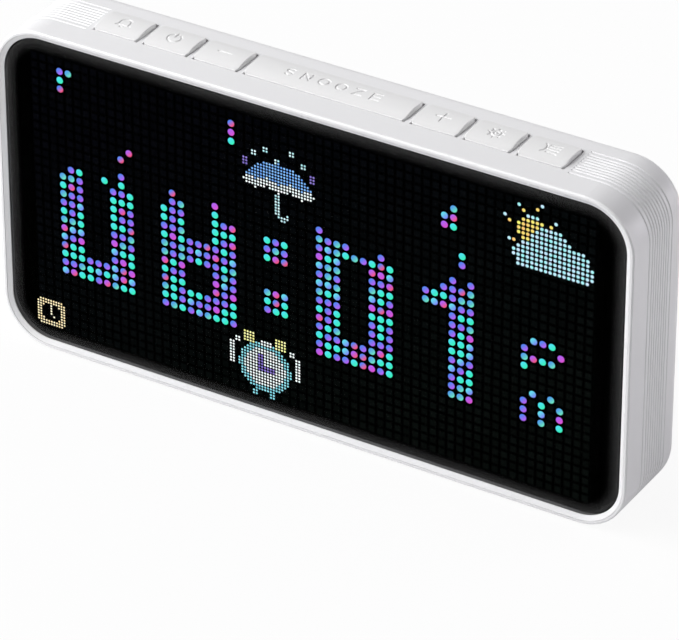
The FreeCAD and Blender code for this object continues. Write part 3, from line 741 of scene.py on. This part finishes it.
SIGNS = {
    "bell_key": bell_sign,
    "power_key": power_sign,
    "minus_key": minus_sign,
    "snooze_key": snooze_sign,
    "plus_key": plus_sign,
    "settings_key": settings_sign,
    "brightness_key": brightness_sign,
}


def sign_cut(points, strokes):
    """Depth of the engraving at each point of a key's top."""
    nearest = np.full(len(points), 1.0)
    for stroke in strokes:
        for start, end in zip(stroke, stroke[1:]):
            first = np.array(start) * MM
            along = np.array(end) * MM - first
            share = np.clip(((points - first) @ along) / max(along @ along, LEAST_SQUARE), 0, 1)
            apart = np.linalg.norm(points - first - share[:, None] * along, axis=1)
            nearest = np.minimum(nearest, apart)
    slope = np.clip((SIGN_HALF_STROKE + SIGN_SLOPE - nearest) / SIGN_SLOPE, 0, 1)
    return SIGN_DEPTH * slope * slope * (3 - 2 * slope)


def crown_height(along):
    """Height of the crown above the case's top, at a place from 0 at the key's front to its run."""
    front = (0.0, KEY_RISES[0])
    peak = (key_run * KEY_PEAK_SHARE, KEY_RISES[1])
    back = (key_run, KEY_RISES[2])
    rows = []
    sums = []
    for point in (peak, back):
        rows.append([2 * (point[0] - front[0]), 2 * (point[1] - front[1])])
        sums.append(point[0] ** 2 + point[1] ** 2 - front[0] ** 2 - front[1] ** 2)
    middle = np.linalg.solve(np.array(rows), np.array(sums))
    radius = math.hypot(middle[0] - front[0], middle[1] - front[1])
    return middle[1] + np.sqrt(radius ** 2 - (along - middle[0]) ** 2)


def spaced_lines(half, low, high):
    """Places of grid lines from -half to half, close together between low and high."""
    lines = {-half, half}
    for start, end, step in ((-half, low, PLAIN_STEP), (low, high, SIGN_STEP), (high, half, PLAIN_STEP)):
        count = max(1, round((end - start) / step))
        lines |= {round(start + (end - start) * number / count, 7) for number in range(count + 1)}
    return np.array(sorted(lines))


def key_mesh(name, low, high):
    """Hollow crowned cap with rounded edges, an engraved sign, a flange and a stem."""
    half_x = (high.x - low.x) / 2 - KEY_FLANGE_REACH
    half_y = key_run / 2
    middle_x = (low.x + high.x) / 2
    middle_y = (low.y + high.y) / 2
    strokes = SIGNS[name]()
    spots = np.array([spot for stroke in strokes for spot in stroke]) * MM
    sign_left, sign_front = spots.min(0) - SIGN_MARGIN
    sign_right, sign_back = spots.max(0) + SIGN_MARGIN
    inner_x, inner_y = half_x - KEY_EDGE, half_y - KEY_EDGE
    across = spaced_lines(inner_x, sign_left, sign_right)
    along = spaced_lines(inner_y, sign_front, sign_back)
    corner = KEY_CORNER - KEY_EDGE
    work = bmesh.new()
    grid = []
    for y in along:
        past = max(0.0, abs(y) - (inner_y - corner))
        narrow = (inner_x - corner + math.sqrt(max(corner ** 2 - past ** 2, 0.0))) / inner_x
        line = np.column_stack([across * narrow, np.full(len(across), y)])
        heights = top_z + crown_height(line[:, 1] + half_y) - sign_cut(line, strokes)
        grid.append([work.verts.new((middle_x + x, middle_y + y, z))
                     for (x, y), z in zip(line, heights)])
    for front, back in zip(grid, grid[1:]):
        for number in range(len(front) - 1):
            work.faces.new((front[number], front[number + 1], back[number + 1], back[number]))
    rim = grid[0] + [row[-1] for row in grid[1:-1]] + grid[-1][::-1] + [row[0] for row in grid[-2:0:-1]]
    close_cap(work, rim, middle_x, middle_y, (inner_x, inner_y, corner))
    mesh = bpy.data.meshes.new(name + "_cap")
    bmesh.ops.recalc_face_normals(work, faces=work.faces)
    work.to_mesh(mesh)
    work.free()
    return mesh


def close_cap(work, rim, middle_x, middle_y, plan):
    """Add a cap's rounded edge, walls, flange, hollow and stem below the rim of its top."""
    inner_x, inner_y, corner = plan
    ceiling = top_z - WALL
    flange = ceiling - KEY_FLANGE_THICKNESS
    inside = top_z + KEY_RISES[0] - KEY_SKIN
    rings = []
    for degrees in (18, 36, 54, 72, 90):
        angle = math.radians(degrees)
        rings.append((KEY_EDGE * math.sin(angle), KEY_EDGE * (1 - math.cos(angle)), None))
    rings += [(KEY_EDGE, 0, ceiling), (KEY_EDGE + KEY_FLANGE_REACH, 0, ceiling),
              (KEY_EDGE + KEY_FLANGE_REACH, 0, flange), (KEY_EDGE - KEY_WALL, 0, flange),
              (KEY_EDGE - KEY_WALL, 0, inside)]
    ways = []
    for vertex in rim:
        x, y = vertex.co.x - middle_x, vertex.co.y - middle_y
        base_x = max(-(inner_x - corner), min(inner_x - corner, x))
        base_y = max(-(inner_y - corner), min(inner_y - corner, y))
        way = Vector((x - base_x, y - base_y, 0))
        if way.length < NO_LENGTH:
            way = Vector((0, y, 0)) if abs(abs(y) - inner_y) < SAME_PLACE else Vector((x, 0, 0))
        ways.append(way.normalized())
    previous = rim
    for outward, drop, level in rings:
        ring = []
        for vertex, way in zip(rim, ways):
            spot = vertex.co + way * outward
            spot.z = level if level is not None else vertex.co.z - drop
            ring.append(work.verts.new(spot))
        for number in range(len(ring)):
            following = (number + 1) % len(ring)
            work.faces.new((previous[number], ring[number], ring[following], previous[following]))
        previous = ring
    work.faces.new(previous)
    stem_low = flange - KEY_STEM_DROP
    stem = bmesh.ops.create_cube(work, size=1.0)["verts"]
    for vertex in stem:
        vertex.co = Vector((middle_x + KEY_STEM_SIDE * vertex.co.x, middle_y + KEY_STEM_SIDE * vertex.co.y,
                            inside if vertex.co.z > 0 else stem_low))


def make_keys(finish):
    """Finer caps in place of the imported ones."""
    for name in SIGNS:
        low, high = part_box(name)
        body = name.replace("_key", "_button")
        cap = add_piece(name + "_cap", key_mesh(name, low, high), finish, body)
        cap.data.shade_smooth()
        cap.data.set_sharp_from_angle(angle=KEY_SHARP_ANGLE)
        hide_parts(name)


# Camera, lamps, surroundings and floor


def make_camera():
    """Camera at the photograph's angle."""
    sin_a, cos_a = math.sin(CAMERA_AZIMUTH), math.cos(CAMERA_AZIMUTH)
    sin_e, cos_e = math.sin(CAMERA_ELEVATION), math.cos(CAMERA_ELEVATION)
    back = Vector((sin_a * cos_e, -cos_a * cos_e, sin_e))
    right = Vector((cos_a, sin_a, 0))
    up = back.cross(right)
    data = bpy.data.cameras.new("camera")
    data.lens = CAMERA_LENS
    data.sensor_width = CAMERA_SENSOR
    data.clip_start = CAMERA_NEAR
    data.clip_end = CAMERA_FAR
    camera = bpy.data.objects.new("camera", data)
    aim = CAMERA_TARGET + CAMERA_SHIFT_RIGHT * right + CAMERA_SHIFT_UP * up
    camera.location = aim + CAMERA_DISTANCE * back
    camera.rotation_mode = "QUATERNION"
    camera.rotation_quaternion = (-back).to_track_quat("-Z", "Y")
    bpy.context.scene.collection.objects.link(camera)
    bpy.context.scene.camera = camera


def add_lamp(name, position, size, power, colour=(1, 1, 1)):
    """Soft square lamp that points at the clock."""
    data = bpy.data.lights.new(name, "AREA")
    data.shape = "SQUARE"
    data.size = size
    data.energy = power
    data.color = colour
    lamp = bpy.data.objects.new(name, data)
    lamp.location = position
    toward = Vector((0, 0, middle_z)) - Vector(position)
    lamp.rotation_mode = "QUATERNION"
    lamp.rotation_quaternion = toward.to_track_quat("-Z", "Y")
    bpy.context.scene.collection.objects.link(lamp)


def make_lamps():
    """Broad lamps in front, at the left and above, and faint ones behind and close at the right."""
    add_lamp("front_lamp", position=(-0.6, -1.3, 1.35), size=1.0, power=6.5)
    add_lamp("left_lamp", position=(-1.7, -0.9, 1.0), size=2.0, power=24)
    add_lamp("high_lamp", position=(-1.3, -0.6, 1.5), size=1.6, power=28)
    add_lamp("rear_lamp", position=(-0.3, 1.9, 1.3), size=1.2, power=0.7)
    add_lamp("side_lamp", position=(0.36, 0.32, 0.12), size=0.16, power=0.5, colour=(0.98, 0.95, 1.0))


def make_world():
    """Even pale surroundings, white where the camera sees them."""
    world = bpy.data.worlds.new("studio")
    world.use_nodes = True
    tree = world.node_tree
    tree.nodes.clear()
    path = node(tree, "LightPath").outputs
    seen = maths(tree, "MAXIMUM", path["Is Camera Ray"], path["Is Glossy Ray"])
    soft = node(tree, "Background", {"Color": SOFT_COLOUR, "Strength": SOFT_STRENGTH})
    white = node(tree, "Background", {"Color": grey(1.0), "Strength": 1.0})
    mixed = node(tree, "MixShader", {0: seen, 1: soft.outputs[0], 2: white.outputs[0]})
    output = node(tree, "OutputWorld")
    tree.links.new(mixed.outputs[0], output.inputs[0])
    bpy.context.scene.world = world


def make_floor():
    """Pale floor that stays white to the camera and keeps a soft shadow."""
    made = bpy.data.materials.new("floor_white")
    made.use_nodes = True
    tree = made.node_tree
    tree.nodes.clear()
    darker, lighter = FLOOR_SHADES
    shade = blend_colours(tree, noise(tree, 3.0), grey(darker), grey(lighter))
    lit = node(tree, "BsdfDiffuse", {"Color": shade})
    glow = node(tree, "Emission", {"Color": grey(1.0), "Strength": 1.0})
    path = node(tree, "LightPath").outputs
    seen = maths(tree, "MULTIPLY", path["Is Camera Ray"], FLOOR_WHITE_SHARE)
    mixed = node(tree, "MixShader", {0: seen, 1: lit.outputs[0], 2: glow.outputs[0]})
    output = node(tree, "OutputMaterial")
    tree.links.new(mixed.outputs[0], output.inputs[0])
    mesh = bpy.data.meshes.new("floor")
    corners = [(x * FLOOR_REACH, y * FLOOR_REACH, 0) for x, y in ((-1, -1), (1, -1), (1, 1), (-1, 1))]
    mesh.from_pydata(corners, [], [(0, 1, 2, 3)])
    mesh.materials.append(made)
    floor = bpy.data.objects.new("floor", mesh)
    bpy.context.scene.collection.objects.link(floor)


def dress_frame():
    """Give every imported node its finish."""
    slots = {
        "case_white": moulded("case_white", WHITE_PLASTIC, roughness=0.42, grain=0.25, depth=0.006),
        "frame_white": moulded("frame_white", WHITE_PLASTIC, roughness=0.3, grain=0.4, depth=0.003),
        "key_white": moulded("key_white", grey(0.83), roughness=0.42, grain=0.25, depth=0.006),
        "smoked_window": smoked_window("smoked_window"),
        "mask_black": dot_mask_black("mask_black"),
        "foam_black": moulded("foam_black", grey(0.004), roughness=0.95, grain=0.5, depth=0.06, shade=0.3,
                              Specular_IOR_Level=0.1),
        "circuit_board": circuit_board("circuit_board"),
        "chip_black": moulded("chip_black", grey(0.02), roughness=0.5, grain=0.12, depth=0.01, shade=0.2),
        "switch_black": moulded("switch_black", grey(0.03), roughness=0.45, grain=0.2, depth=0.008,
                                shade=0.15),
        "metal_shell": brushed("metal_shell", grey(0.6), roughness=0.3, stretch=(1.0, 12.0, 1.0)),
        "tongue_black": moulded("tongue_black", grey(0.02), roughness=0.4, grain=0.2, depth=0.008,
                                shade=0.15),
        "cell_steel": brushed("cell_steel", grey(0.7), roughness=0.22),
        "screw_steel": brushed("screw_steel", (0.35, 0.35, 0.36, 1), roughness=0.35),
        "foot_rubber": moulded("foot_rubber", grey(0.22), roughness=0.85, grain=0.3, depth=0.03,
                               shade=0.15),
        "speaker_plastic": moulded("speaker_plastic", grey(0.03), roughness=0.5, grain=0.25, shade=0.15),
        "speaker_paper": moulded("speaker_paper", grey(0.04), roughness=0.9, grain=0.35, depth=0.05,
                                 shade=0.3),
        "magnet_steel": brushed("magnet_steel", grey(0.4), roughness=0.35),
        "connector_white": moulded("connector_white", (0.72, 0.70, 0.62, 1), roughness=0.4, grain=0.3,
                                   depth=0.01),
        "cable_white": moulded("cable_white", grey(0.66), roughness=0.45, grain=0.3, depth=0.01),
    }
    for part in frame["record"]["subparts"]:
        piece = frame["nodes"][part["node"]]
        piece.data.materials.clear()
        piece.data.materials.append(slots[part["material_slot"]])
    return slots


bpy.context.scene.view_settings.view_transform = "Standard"
finishes = dress_frame()
make_keys(finishes["key_white"])
make_sheet(finishes["mask_black"])
make_time()
make_pictures()
make_camera()
make_world()
make_floor()
make_lamps()
